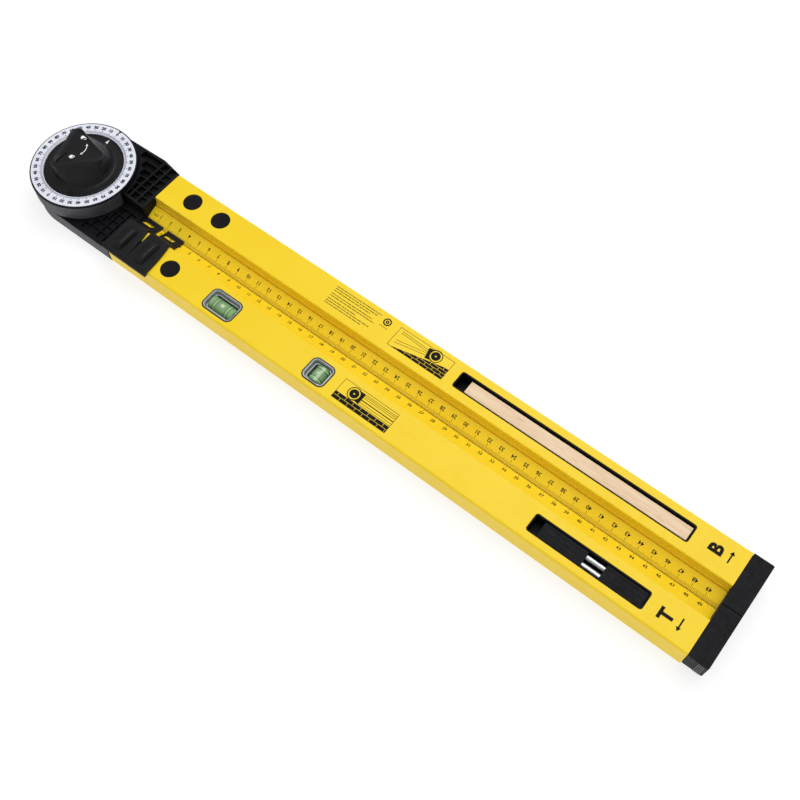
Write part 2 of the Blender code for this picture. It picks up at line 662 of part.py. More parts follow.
def build():
    """Model the whole tool."""
    clear_scene()
    materials = make_materials()
    fixed_arm = add_empty("fixed_arm")
    swing_arm = add_empty("swing_arm", parent=fixed_arm)
    knob_axis = add_empty("knob_axis", (0.0, 0.0, KNOB_BASE_Z), swing_arm)
    pencil_hold = add_empty("pencil_hold", (435.6, TRACK_Y, 15.5), fixed_arm)
    insert_hold = add_empty("insert_hold", INSERT_CENTRE, swing_arm)
    make_arm("b", [(PENCIL_SLOT, SLOT_WIDTH, 2.0)], materials, fixed_arm)
    t_slots = [(INSERT_SLOT, SLOT_WIDTH, 2.0)]
    for vial in (VIAL_LONG, VIAL_CROSS):
        t_slots.append((window_span(vial), vial[2], 3.9))
    make_arm("t", t_slots, materials, swing_arm)
    make_upper_housing(materials, fixed_arm)
    make_lower_housing(materials, swing_arm)
    make_pivot(materials, fixed_arm, swing_arm, knob_axis)
    make_lock_knob(materials, knob_axis)
    make_vial("long", VIAL_LONG, True, materials, swing_arm)
    make_vial("cross", VIAL_CROSS, False, materials, swing_arm)
    make_tray("pencil_tray", PENCIL_SLOT, 1.0, materials, fixed_arm)
    make_tray("insert_tray", INSERT_SLOT, -1.0, materials, swing_arm)
    make_pencil(materials, pencil_hold)
    make_insert(materials, insert_hold)
    for name, start in SLIDER_X.items():
        middle = (start + SLIDER_LENGTH / 2, -TRACK_Y, SLIDER_HOLD_Z)
        hold = add_empty(f"{name}_hold", middle, swing_arm)
        make_slider(name, start, materials, hold)


build()
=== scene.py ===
"""Looks of a two-arm locking angle finder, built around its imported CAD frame.

Lengths below are in millimetres along the frame's own axes: the pivot is the Z axis, the
folded arms run along +X, the fixed arm (b_*) lies on the +Y side and the swinging arm (t_*)
on the -Y side. MM turns them into metres.
"""

import json
import math
import random

import bmesh
import bpy
from mathutils import Matrix, Quaternion, Vector


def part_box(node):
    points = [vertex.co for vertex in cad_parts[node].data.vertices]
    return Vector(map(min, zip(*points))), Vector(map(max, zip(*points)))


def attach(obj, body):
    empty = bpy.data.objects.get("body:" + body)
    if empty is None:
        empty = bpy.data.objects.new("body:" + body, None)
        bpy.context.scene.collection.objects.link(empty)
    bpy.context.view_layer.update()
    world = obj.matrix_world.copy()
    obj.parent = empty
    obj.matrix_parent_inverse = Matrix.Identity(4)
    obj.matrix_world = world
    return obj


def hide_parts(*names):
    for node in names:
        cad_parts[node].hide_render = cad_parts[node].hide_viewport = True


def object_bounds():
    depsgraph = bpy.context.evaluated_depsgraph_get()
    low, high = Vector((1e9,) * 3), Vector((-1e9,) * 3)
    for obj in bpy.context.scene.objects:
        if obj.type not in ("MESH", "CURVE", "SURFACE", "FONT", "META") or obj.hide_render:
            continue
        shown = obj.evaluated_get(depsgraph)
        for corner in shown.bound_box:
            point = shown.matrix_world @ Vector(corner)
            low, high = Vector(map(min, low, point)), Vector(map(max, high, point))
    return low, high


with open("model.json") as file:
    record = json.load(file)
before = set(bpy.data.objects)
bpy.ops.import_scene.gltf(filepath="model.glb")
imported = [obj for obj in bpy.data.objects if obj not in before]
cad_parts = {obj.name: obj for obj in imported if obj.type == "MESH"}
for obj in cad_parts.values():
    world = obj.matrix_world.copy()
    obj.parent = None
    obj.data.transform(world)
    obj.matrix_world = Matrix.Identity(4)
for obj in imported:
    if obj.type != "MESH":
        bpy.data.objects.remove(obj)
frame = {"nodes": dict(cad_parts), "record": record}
cad_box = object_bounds()

MM = 0.001
INK = 0.05                 # how far a printed mark stands on its surface
INK_ROOT = 0.04            # and how deep it reaches into it
SIDES = {"b": 1.0, "t": -1.0}
ARM_BODY = {"b": "fixed_arm", "t": "swing_arm"}


def box_mm(node):
    """Lowest and highest corner of a CAD node in millimetres."""
    low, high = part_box(node)
    return low / MM, high / MM


# --- places taken from the frame (mm) ------------------------------------------------
RAIL_LOW, RAIL_HIGH = box_mm("b_rail")
SCALE_ZERO = RAIL_LOW.x
ARM_TOP = RAIL_HIGH.z
ARM_OUTER = RAIL_HIGH.y
LIP_Y = RAIL_LOW.y
DIAL_TOP = box_mm("dial_ring")[1].z
DIAL_RADIUS = box_mm("dial_ring")[1].x
DISC_LOW, DISC_HIGH = box_mm("pointer_disc")
DIAL_INNER = 31.1          # inner edge of the dial ring's sloped rim
BEVEL_START = 33.4         # where that slope meets the flat of the ring
BEVEL_DROP = 0.6
KNOB_LOW, KNOB_HIGH = box_mm("lock_knob")
FOOT_RADIUS = -box_mm("lower_housing")[0].x
DRUM_RADIUS = -box_mm("upper_housing")[0].x
NECK_TOP = 13.6            # top of the foot and of the neck beside it

# --- the ruler lip ---------------------------------------------------------------------
LIP_EDGE_Z = ARM_TOP - 12.6    # height of the thin edge
LIP_TOP_Y = 10.4               # where the slope meets the inner wall
LIP_TOP_Z = ARM_TOP - 8.3
LIP_RISE = (LIP_TOP_Z - LIP_EDGE_Z) / (LIP_TOP_Y - LIP_Y)
LAST_CENTIMETRE = 49
SCALE_LENGTH = 10.0 * (LAST_CENTIMETRE + 1)
TICK_REACH = {"b": 2.6, "t": 1.6}                      # from the centre gap
CENTIMETRE_TICK = {"b": (2.9, 4.6), "t": (1.6, 2.6)}   # start and end from the gap
FIGURE_HEIGHT = {"b": 3.0, "t": 2.7}
FIGURE_DISTANCE = {"b": 6.6, "t": 4.6}                 # middle of the figures from the gap

# --- materials -------------------------------------------------------------------------
class Finish:
    """A Principled material with procedural nodes feeding its inputs."""

    def __init__(self, name, colour, roughness, metallic=0.0, specular=0.5):
        self.material = bpy.data.materials.new(name)
        self.material.use_nodes = True
        self.tree = self.material.node_tree
        self.shader = self.tree.nodes["Principled BSDF"]
        self.set("Base Color", (*colour, 1.0))
        self.set("Roughness", roughness)
        self.set("Metallic", metallic)
        self.set("Specular IOR Level", specular)
        self.coordinates = self.tree.nodes.new("ShaderNodeTexCoord").outputs["Object"]

    def set(self, socket, value):
        """Give a shader input a plain value or the output of a node."""
        if isinstance(value, bpy.types.NodeSocket):
            self.tree.links.new(value, self.shader.inputs[socket])
        else:
            self.shader.inputs[socket].default_value = value

    def noise(self, scale, detail=3.0, stretch=(1.0, 1.0, 1.0)):
        """Noise with about this many waves to the metre."""
        mapping = self.tree.nodes.new("ShaderNodeMapping")
        mapping.inputs["Scale"].default_value = stretch
        self.tree.links.new(self.coordinates, mapping.inputs["Vector"])
        texture = self.tree.nodes.new("ShaderNodeTexNoise")
        texture.inputs["Scale"].default_value = scale
        texture.inputs["Detail"].default_value = detail
        self.tree.links.new(mapping.outputs["Vector"], texture.inputs["Vector"])
        return texture.outputs["Fac"]

    def remap(self, factor, low, high, start=0.35, stop=0.65):
        """Stretch a factor from start..stop to low..high."""
        node = self.tree.nodes.new("ShaderNodeMapRange")
        self.tree.links.new(factor, node.inputs["Value"])
        for key, value in zip(("From Min", "From Max", "To Min", "To Max"), (start, stop, low, high)):
            node.inputs[key].default_value = value
        return node.outputs["Result"]

    def blend(self, factor, first, second):
        """Mix two colours, or a colour and the output of a node."""
        node = self.tree.nodes.new("ShaderNodeMix")
        node.data_type = "RGBA"
        self.tree.links.new(factor, node.inputs["Factor"])
        for key, colour in (("A", first), ("B", second)):
            socket = [s for s in node.inputs if s.name == key and s.type == "RGBA"][0]
            if isinstance(colour, bpy.types.NodeSocket):
                self.tree.links.new(colour, socket)
            else:
                socket.default_value = (*colour, 1.0)
        return [s for s in node.outputs if s.type == "RGBA"][0]

    def bump(self, height, depth, strength=1.0):
        """Raise the surface by depth millimetres where height is 1."""
        node = self.tree.nodes.new("ShaderNodeBump")
        node.inputs["Strength"].default_value = strength
        node.inputs["Distance"].default_value = depth * MM
        self.tree.links.new(height, node.inputs["Height"])
        self.set("Normal", node.outputs["Normal"])


def yellow_coat():
    """Powder coat on aluminium: faint blotches and orange peel."""
    finish = Finish("yellow_coat", (0.92, 0.66, 0.03), 0.4, specular=0.27)
    blotches = finish.remap(finish.noise(30.0, 4.0), 0.0, 1.0)
    colour = finish.blend(blotches, (0.930, 0.645, 0.010), (0.945, 0.672, 0.016))
    finish.set("Base Color", colour)
    finish.set("Roughness", finish.remap(finish.noise(240.0), 0.34, 0.46))
    finish.bump(finish.noise(1300.0, 2.0), 0.05, 0.35)
    return finish.material


def moulded_black(name, colour, roughness, grain, specular=0.1):
    """Moulded plastic with a fine grain and faint clouds."""
    finish = Finish(name, colour, roughness, specular=specular)
    lighter = tuple(1.5 * part for part in colour)
    finish.set("Base Color", finish.blend(finish.remap(finish.noise(60.0), 0.0, 1.0), colour, lighter))
    finish.set("Roughness", finish.remap(finish.noise(350.0), roughness - 0.07, roughness + 0.07))
    finish.bump(finish.noise(grain, 2.0), 0.06, 0.5)
    return finish.material


def dial_white():
    """Printed white plastic with a cool tint and a satin surface."""
    finish = Finish("dial_white", (0.80, 0.82, 0.92), 0.42, specular=0.35)
    cloud = finish.remap(finish.noise(90.0), 0.0, 1.0)
    finish.set("Base Color", finish.blend(cloud, (0.78, 0.80, 0.91), (0.83, 0.85, 0.94)))
    finish.set("Roughness", finish.remap(finish.noise(500.0), 0.36, 0.48))
    finish.bump(finish.noise(1800.0, 2.0), 0.03, 0.3)
    return finish.material


def pencil_wood():
    """Bare sanded basswood: long pale grain with short darker pores."""
    finish = Finish("pencil_wood", (0.86, 0.64, 0.42), 0.62, specular=0.2)
    grain = finish.remap(finish.noise(420.0, 5.0, (0.035, 1.0, 1.0)), 0.0, 1.0)
    pores = finish.remap(finish.noise(1500.0, 2.0, (0.06, 1.0, 1.0)), 0.0, 1.0, 0.60, 0.72)
    colour = finish.blend(grain, (0.79, 0.575, 0.365), (0.91, 0.70, 0.485))
    finish.set("Base Color", finish.blend(pores, colour, (0.62, 0.44, 0.27)))
    finish.set("Roughness", finish.remap(grain, 0.55, 0.7, 0.0, 1.0))
    finish.bump(finish.noise(1500.0, 2.0, (0.06, 1.0, 1.0)), 0.08, 0.5)
    return finish.material


def brushed_metal(name, colour, roughness):
    """Drawn metal with fine lines along X and a few dull spots."""
    finish = Finish(name, colour, roughness, metallic=1.0)
    lines = finish.noise(2600.0, 2.0, (0.03, 1.0, 1.0))
    darker = tuple(0.86 * part for part in colour)
    finish.set("Base Color", finish.blend(finish.remap(lines, 0.0, 1.0), darker, colour))
    finish.set("Roughness", finish.remap(finish.noise(700.0), roughness - 0.06, roughness + 0.1))
    finish.bump(lines, 0.01, 0.25)
    return finish.material


def graphite():
    """Pencil lead with a dull grey shine."""
    finish = Finish("graphite", (0.05, 0.05, 0.055), 0.45, metallic=0.3)
    finish.set("Roughness", finish.remap(finish.noise(900.0), 0.35, 0.6))
    finish.bump(finish.noise(2000.0), 0.05, 0.5)
    return finish.material


def fibre():
    """Pressed fibre washer."""
    finish = Finish("fibre", (0.10, 0.075, 0.055), 0.8)
    finish.set("Base Color", finish.blend(finish.noise(800.0), (0.07, 0.05, 0.04), (0.14, 0.1, 0.07)))
    finish.bump(finish.noise(1500.0), 0.1, 0.6)
    return finish.material


def acrylic():
    """Polished clear acrylic seen against a dark backing."""
    finish = Finish("clear_acrylic", (0.46, 0.50, 0.51), 0.1, specular=0.8)
    finish.set("Base Color", finish.blend(finish.remap(finish.noise(160.0), 0.0, 1.0),
                                          (0.42, 0.46, 0.47), (0.55, 0.59, 0.60)))
    finish.set("Roughness", finish.remap(finish.noise(500.0), 0.06, 0.16))
    return finish.material


def spirit(name, colour, light):
    """Green spirit behind the polished wall of a vial."""
    finish = Finish(name, colour, 0.07, specular=0.7)
    finish.set("Base Color", finish.blend(finish.remap(finish.noise(220.0), 0.0, 1.0), colour, light))
    finish.set("Coat Weight", 0.6)
    finish.set("Coat Roughness", 0.03)
    return finish.material


def ink(name, colour):
    """Screen-printed ink, a little uneven in its cover."""
    finish = Finish(name, colour, 0.55, specular=0.1)
    thin = tuple(min(1.0, 1.3 * part + 0.003) for part in colour)
    finish.set("Base Color", finish.blend(finish.remap(finish.noise(900.0), 0.0, 1.0), colour, thin))
    finish.bump(finish.noise(2500.0), 0.02, 0.3)
    return finish.material


BLACK = (0.0055, 0.0055, 0.0068)
FINISHES = {
    "yellow_coat": yellow_coat(),
    "black_plastic": moulded_black("black_plastic", BLACK, 0.5, 2400.0),
    "dial_white": dial_white(),
    "steel": brushed_metal("steel", (0.66, 0.68, 0.69), 0.3),
    "brass": brushed_metal("brass", (0.75, 0.55, 0.22), 0.3),
    "fibre": fibre(),
    "pencil_wood": pencil_wood(),
    "graphite": graphite(),
    "clear_acrylic": acrylic(),
    "vial_green": spirit("vial_green", (0.190, 0.350, 0.140), (0.25, 0.43, 0.18)),
}
SATIN_BLACK = moulded_black("satin_black", (0.0065, 0.0066, 0.0075), 0.38, 3200.0, 0.2)
# Lighter grey copy of the black plastic for the ribs: painted light, standing for the light the ribs
# catch and the floor's reflection on them.
RIB_PAINTED_LIGHT = moulded_black("rib_painted_light", (0.06, 0.06, 0.067), 0.42, 3200.0, 0.5)
GASKET = moulded_black("gasket", (0.04, 0.04, 0.037), 0.5, 3200.0)
WELL_GREY = moulded_black("well_grey", (0.20, 0.215, 0.22), 0.2, 3000.0, 0.4)
BUBBLE = spirit("vial_bubble", (0.42, 0.60, 0.35), (0.52, 0.69, 0.44))
RING_DARK = spirit("vial_ring", (0.045, 0.11, 0.04), (0.06, 0.14, 0.055))
RING_LIGHT = spirit("vial_ring_light", (0.33, 0.55, 0.25), (0.38, 0.62, 0.3))
INK_BLACK = ink("ink_black", (0.006, 0.004, 0.003))
# Scale ink; the same material also paints the shade line along the T lip's thin edge.
SCALE_INK_AND_GAP_SHADE = ink("scale_ink_and_gap_shade", (0.09, 0.052, 0.011))
INK_FAINT = ink("ink_faint", (0.10, 0.065, 0.012))
INK_FIGURES = {"b": INK_BLACK, "t": ink("ink_figures", (0.045, 0.028, 0.006))}
INK_WHITE = ink("ink_white", (0.85, 0.86, 0.88))
INK_DIAL = ink("ink_dial", (0.004, 0.004, 0.009))
INK_FINE = ink("ink_fine", (0.16, 0.16, 0.19))


# --- outlines --------------------------------------------------------------------------
def arc(radius, start, stop, steps, centre=(0.0, 0.0)):
    """Points on an arc, angles in degrees."""
    points = []
    for index in range(steps + 1):
        angle = math.radians(start + (stop - start) * index / steps)
        points.append((centre[0] + radius * math.cos(angle), centre[1] + radius * math.sin(angle)))
    return points


def circle(radius, steps, centre=(0.0, 0.0)):
    """A closed round outline."""
    return arc(radius, 0.0, 360.0, steps, centre)[:-1]


def rectangle(x_range, y_range):
    """A rectangle, counter-clockwise."""
    x0, x1 = x_range
    y0, y1 = y_range
    return [(x0, y0), (x1, y0), (x1, y1), (x0, y1)]


def rounded_rectangle(x_range, y_range, radius, steps=8):
    """A rectangle with round corners, counter-clockwise."""
    x0, x1 = x_range
    y0, y1 = y_range
    points = arc(radius, 0, 90, steps, (x1 - radius, y1 - radius))
    points += arc(radius, 90, 180, steps, (x0 + radius, y1 - radius))
    points += arc(radius, 180, 270, steps, (x0 + radius, y0 + radius))
    points += arc(radius, 270, 360, steps, (x1 - radius, y0 + radius))
    return points


# --- solids ----------------------------------------------------------------------------
def add_loops(mesh, loops, capped=True):
    """Skin equal rings of points into a bmesh, with filled ends or joined end to end."""
    rings = [[mesh.verts.new(point) for point in loop] for loop in loops]
    pairs = list(zip(rings, rings[1:]))
    faces = []
    if capped:
        faces.append(mesh.faces.new(list(reversed(rings[0]))))
        faces.append(mesh.faces.new(rings[-1]))
    else:
        pairs.append((rings[-1], rings[0]))
    for lower, upper in pairs:
        count = len(lower)
        for index in range(count):
            following = (index + 1) % count
            corners = (lower[index], lower[following], upper[following], upper[index])
            faces.append(mesh.faces.new(corners))
    bmesh.ops.recalc_face_normals(mesh, faces=faces)


def prism(outline, z0, z1):
    """Outline in plan, extruded from z0 to z1."""
    mesh = bmesh.new()
    add_loops(mesh, [[(x, y, z) for x, y in outline] for z in (z0, z1)])
    return mesh


def lengthwise(section, x0, x1, side=1.0):
    """Section (y, z), mirrored to the arm's side, extruded from x0 to x1."""
    mesh = bmesh.new()
    add_loops(mesh, [[(x, side * y, z) for y, z in section] for x in (x0, x1)])
    return mesh


def ring_prism(outer, inner, z0, z1):
    """The space between two outlines of equal point count, from z0 to z1."""
    mesh = bmesh.new()
    rows = ((outer, z0), (outer, z1), (inner, z1), (inner, z0))
    add_loops(mesh, [[(x, y, z) for x, y in outline] for outline, z in rows], capped=False)
    return mesh


def turned(profile, steps, centre=(0.0, 0.0)):
    """Revolve a closed profile (radius, z) that stays clear of the axis."""
    mesh = bmesh.new()
    loops = [[(x, y, z) for x, y in circle(radius, steps, centre)] for radius, z in profile]
    add_loops(mesh, loops, capped=False)
    return mesh


def turned_about(profile, steps, origin, axis):
    """Revolve a closed profile (radius, distance along the axis), on the axis at its ends."""
    mesh = bmesh.new()
    frame_matrix = Vector((0.0, 0.0, 1.0)).rotation_difference(Vector(axis)).to_matrix()
    rows = []
    for radius, along in profile:
        points = [(x, y, along) for x, y in circle(radius, steps)]
        rows.append([frame_matrix @ Vector(point) + Vector(origin) for point in points])
    add_loops(mesh, rows)
    return mesh


# --- objects ---------------------------------------------------------------------------
def to_object(name, mesh_data, material, smooth=35.0):
    """Make an object in the frame's metres from a bmesh in millimetres."""
    bmesh.ops.scale(mesh_data, vec=(MM, MM, MM), verts=mesh_data.verts)
    mesh = bpy.data.meshes.new(name)
    mesh_data.to_mesh(mesh)
    mesh_data.free()
    mesh.materials.append(material)
    mesh.shade_smooth()
    mesh.set_sharp_from_angle(angle=math.radians(smooth))
    made = bpy.data.objects.new(name, mesh)
    bpy.context.scene.collection.objects.link(made)
    return made


def piece(name, mesh_data, material, body, bevel=0.0, stands_for=()):
    """One visible piece that rides on a body, in the finish it is given."""
    made = to_object(name, mesh_data, material)
    if bevel:
        soften(made, bevel)
    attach(made, body)
    if stands_for:
        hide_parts(*stands_for)
    return made


def soften(target, width, segments=2):
    """Round the sharp edges by this many millimetres."""
    modifier = target.modifiers.new("soft_edges", "BEVEL")
    modifier.width = width * MM
    modifier.segments = segments
    modifier.limit_method = "ANGLE"
    modifier.angle_limit = math.radians(32)
    modifier.harden_normals = True
    modifier.miter_outer = "MITER_ARC"


def combine(target, mesh_data, operation):
    """Apply a Boolean of a bmesh in millimetres to an object."""
    helper = to_object("helper", mesh_data, target.data.materials[0])
    modifier = target.modifiers.new("shape", "BOOLEAN")
    modifier.operation = operation
    modifier.solver = "EXACT"
    modifier.object = helper
    bpy.context.view_layer.update()
    graph = bpy.context.evaluated_depsgraph_get()
    result = bpy.data.meshes.new_from_object(target.evaluated_get(graph))
    target.modifiers.remove(modifier)
    target.data = result
    bpy.data.objects.remove(helper)


# --- drawing in ink --------------------------------------------------------------------
def lay(origin, right, up):
    """Matrix that lays a flat drawing on a surface, its x along right and its y along up."""
    right = Vector(right).normalized()
    up = Vector(up).normalized()
    turn = Matrix((right, up, right.cross(up))).transposed().to_4x4()
    return Matrix.Translation(Vector(origin)) @ turn


def draw_shape(sheet, outline, place=Matrix.Identity(4)):
    """Add one inked shape, a thin closed solid, to a sheet."""
    loops = []
    for height in (-INK_ROOT, INK):
        loops.append([place @ Vector((x, y, height)) for x, y in outline])
    add_loops(sheet, loops)


def draw_ring(sheet, outer, inner, place=Matrix.Identity(4)):
    """Add an inked band between two outlines of equal point count."""
    rows = ((outer, -INK_ROOT), (outer, INK), (inner, INK), (inner, -INK_ROOT))
    loops = [[place @ Vector((x, y, height)) for x, y in outline] for outline, height in rows]
    add_loops(sheet, loops, capped=False)


def draw_line(sheet, start, stop, width, place=Matrix.Identity(4)):
    """Add a straight inked line between two points of the drawing."""
    run = Vector(stop) - Vector(start)
    across = Vector((-run.y, run.x)).normalized() * width / 2
    corners = [Vector(start) - across, Vector(stop) - across]
    corners += [Vector(stop) + across, Vector(start) + across]
    draw_shape(sheet, [tuple(corner) for corner in corners], place)


def draw_frame(sheet, x_range, y_range, width, place=Matrix.Identity(4)):
    """Add the four sides of a rectangle as one inked band."""
    inner_x = (x_range[0] + width, x_range[1] - width)
    inner_y = (y_range[0] + width, y_range[1] - width)
    draw_ring(sheet, rectangle(x_range, y_range), rectangle(inner_x, inner_y), place)


def make_glyph(text, weight=0.0):
    """A figure or letter as a closed mesh one unit high, centred on its own middle."""
    curve = bpy.data.curves.new("glyph", "FONT")
    curve.body = text
    curve.extrude = 0.5
    curve.offset = weight
    curve.resolution_u = 3
    holder = bpy.data.objects.new("glyph", curve)
    bpy.context.scene.collection.objects.link(holder)
    bpy.context.view_layer.update()
    graph = bpy.context.evaluated_depsgraph_get()
    mesh = bpy.data.meshes.new_from_object(holder.evaluated_get(graph))
    made = bmesh.new()
    made.from_mesh(mesh)
    bmesh.ops.remove_doubles(made, verts=made.verts, dist=0.0001)
    xs = [vert.co.x for vert in made.verts]
    ys = [vert.co.y for vert in made.verts]
    middle = Vector(((min(xs) + max(xs)) / 2, (min(ys) + max(ys)) / 2, 0.0))
    size = max(ys) - min(ys)
    for vert in made.verts:
        vert.co = (vert.co - middle) / size
        vert.co.z = 0.5 if vert.co.z > 0.0 else -0.5
    made.to_mesh(mesh)
    made.free()
    bpy.data.objects.remove(holder)
    bpy.data.curves.remove(curve)
    return mesh


GLYPHS = {}                # glyph meshes already made, by text and weight


def draw_text(sheet, text, height, place, stretch=1.0, weight=0.0):
    """Add figures of this height, centred on the drawing's origin."""
    key = (text, weight)
    if key not in GLYPHS:
        GLYPHS[key] = make_glyph(text, weight)
    known = set(sheet.verts)
    sheet.from_mesh(GLYPHS[key])
    for vert in sheet.verts:
        if vert in known:
            continue
        level = INK if vert.co.z > 0.0 else -INK_ROOT
        vert.co = place @ Vector((vert.co.x * height * stretch, vert.co.y * height, level))


# --- CAD nodes that stay: finish and soft edges ----------------------------------------
EDGE_WIDTH = {             # width of each node's rounded edges (mm)
    "b_rail": 0.25, "t_rail": 0.25,
    "b_end_cap": 0.35, "t_end_cap": 0.35, "dial_ring": 0.15, "pencil_wood": 0.2,
    "pencil_tray": 0.15, "insert_tray": 0.15, "insert_block_near": 0.25, "insert_block_far": 0.25,
    "insert_rod_1": 0.3, "insert_rod_2": 0.3, "pivot_bolt": 0.3,
}


def dress_nodes():
    """Give each CAD node the finish of its slot, and the nodes listed in EDGE_WIDTH softened edges."""
    for subpart in frame["record"]["subparts"]:
        node = frame["nodes"][subpart["node"]]
        material = FINISHES[subpart["material_slot"]]
        for index in range(len(node.material_slots)):
            node.material_slots[index].material = material
        if subpart["node"] in EDGE_WIDTH:
            weld = node.modifiers.new("weld", "WELD")
            weld.merge_threshold = 0.000002
            flatten = node.modifiers.new("flatten", "DECIMATE")
            flatten.decimate_type = "DISSOLVE"
            flatten.angle_limit = math.radians(0.5)
            soften(node, EDGE_WIDTH[subpart["node"]])


# --- ruler scales ----------------------------------------------------------------------
def lip_place(side, x, distance):
    """Drawing plane on the ruler lip; up points down the slope to the thin edge."""
    z = LIP_EDGE_Z + (distance - LIP_Y) * LIP_RISE
    up = (0.0, -side, -LIP_RISE)
    return lay((x, side * distance, z), (-side, 0.0, 0.0), up)


def make_scale(arm):
    """Millimetre ticks and centimetre figures printed along one ruler lip, and on the T lip a dark
    line along the thin edge that is painted shade for the gap between the lips.
    """
    side = SIDES[arm]
    ticks = bmesh.new()
    figures = bmesh.new()
    edge = LIP_Y + 0.2
    for millimetre in range(1, 10 * (LAST_CENTIMETRE + 1)):
        reach = TICK_REACH[arm]
        if millimetre % 5 == 0:
            reach += 0.5
        place = lip_place(side, SCALE_ZERO + millimetre, edge)
        draw_line(ticks, (0.0, 0.0), (0.0, edge - reach), 0.2, place)
    for centimetre in range(1, LAST_CENTIMETRE + 1):
        x = SCALE_ZERO + 10 * centimetre
        start, stop = CENTIMETRE_TICK[arm]
        place = lip_place(side, x, start)
        draw_line(figures, (0.0, 0.0), (0.0, start - stop), 0.24, place)
        draw_text(figures, str(centimetre), FIGURE_HEIGHT[arm],
                  lip_place(side, x, FIGURE_DISTANCE[arm]), 0.95, 0.02)
    draw_text(figures, "cm", 1.7, lip_place(side, SCALE_ZERO + 5.2, 6.0))
    # Painted shade: a dark line along the T lip's thin edge stands for the shadow in the narrow gap
    # between the two lips.
    if arm == "t":
        gap_shade_place = lip_place(side, SCALE_ZERO, LIP_Y + 0.35)
        draw_line(ticks, (0.3, 0.0), (SCALE_LENGTH - 0.3, 0.0), 0.45, gap_shade_place)
    piece(f"{arm}_scale_ticks", ticks, SCALE_INK_AND_GAP_SHADE, ARM_BODY[arm])
    piece(f"{arm}_scale_figures", figures, INK_FIGURES[arm], ARM_BODY[arm])


# --- prints on the arms ----------------------------------------------------------------
def top_place(x, y, right=(1.0, 0.0, 0.0), up=(0.0, 1.0, 0.0)):
    """Drawing plane on the flat top of an arm."""
    return lay((x, y, ARM_TOP), right, up)


def draw_arrow(sheet, place, length):
    """An arrow along the drawing's y, centred on its origin."""
    tip = length / 2
    draw_line(sheet, (0.0, -tip), (0.0, tip - 2.4), 1.05, place)
    draw_shape(sheet, [(-1.75, tip - 2.8), (1.75, tip - 2.8), (0.0, tip)], place)


def draw_bricks(sheet, x_range, rows, course, rise, place):
    """Courses of bricks up to a top edge that climbs by rise per millimetre, or level if None."""
    mortar = 0.3
    length = 6.5
    for row in range(rows):
        low = row * course
        high = low + course - mortar
        x = x_range[0] - (length / 2 if row % 2 else 0.0)
        while x < x_range[1]:
            start = max(x, x_range[0])
            stop = min(x + length - mortar, x_range[1])
            left = right = high
            if rise is not None:
                start = max(start, x_range[0] + low / rise)
                left = min(high, (start - x_range[0]) * rise)
                right = min(high, (stop - x_range[0]) * rise)
            if stop - start > 0.4 and right - low > 0.2:
                outline = [(start, low), (stop, low), (stop, right)]
                if left < high and right >= high:
                    outline.append((x_range[0] + high / rise, high))
                if left > low + 0.05:
                    outline.append((start, left))
                draw_shape(sheet, outline, place)
            x += length


def draw_tool(sheet, facing, place):
    """The tool's head in a pictogram: a disc in a pale ring, and the start of an arm."""
    draw_ring(sheet, circle(3.5, 32), circle(0.7, 32), place)
    draw_ring(sheet, circle(5.2, 32), circle(4.6, 32), place)
    block = [(6.9, -4.4), (6.9, 4.4)] + arc(4.4, 75, -75, 12)
    if facing < 0:
        block = [(-x, y) for x, y in reversed(block)]
    draw_shape(sheet, block, place @ Matrix.Translation((0.0, 0.0, INK)))


def make_b_prints():
    """Care text as plain bars, a round mark, a pictogram and the arm's letter with its arrow."""
    sheet = bmesh.new()
    text_rows = random.Random(7)
    rows = ((35.6, 41.0), (33.6, 38.5), (31.6, 33.0), (28.9, 37.0), (26.9, 40.0),
            (24.2, 26.0), (22.2, 39.5), (20.2, 33.5))
    for y, length in rows:
        x = 225.0
        end = x + length
        while x < end:
            word = text_rows.uniform(1.1, 4.2)
            stop = min(x + word, end)
            draw_shape(sheet, rectangle((x, stop), (y - 0.3, y + 0.3)), top_place(0.0, 0.0))
            x = stop + text_rows.uniform(0.4, 0.6)
    piece("b_care_text", sheet, INK_FAINT, "fixed_arm")

    sheet = bmesh.new()
    mark = (272.6, 33.5)
    draw_ring(sheet, circle(3.2, 40), circle(2.2, 40), top_place(*mark))
    draw_ring(sheet, circle(1.4, 24), circle(0.5, 24), top_place(*mark))
    for index in range(5):
        x = mark[0] - 3.6 + 1.5 * index
        draw_shape(sheet, rectangle((x, x + 1.0), (28.4, 28.9)), top_place(0.0, 0.0))
    make_slope_pictogram(sheet)
    draw_text(sheet, "B", 9.8, top_place(541.6, 28.65, (0, 1, 0), (-1, 0, 0)), 1.0, 0.045)
    draw_arrow(sheet, top_place(551.8, 28.85), 9.2)
    piece("b_prints", sheet, INK_BLACK, "fixed_arm")


def make_slope_pictogram(sheet):
    """The tool lying on a brick slope, in a thin frame."""
    place = top_place(283.0, 19.5)
    width, height = 47.5, 16.9
    rise = 0.22
    line = 0.3
    draw_frame(sheet, (0.0, width), (0.0, height), line, place)
    draw_bricks(sheet, (1.8, width), 4, 2.4, rise, place)
    for start, stop in (((3.0, 4.2), (30.0, 9.6)), ((3.0, 6.4), (29.6, 11.4)),
                        ((3.0, 13.2), (30.0, 11.9)), ((3.0, 14.8), (30.2, 13.4))):
        draw_line(sheet, start, stop, line, place)
    slope = Matrix.Rotation(math.atan(rise), 4, "Z")
    draw_tool(sheet, -1.0, place @ Matrix.Translation((33.7, 12.6, INK)) @ slope)


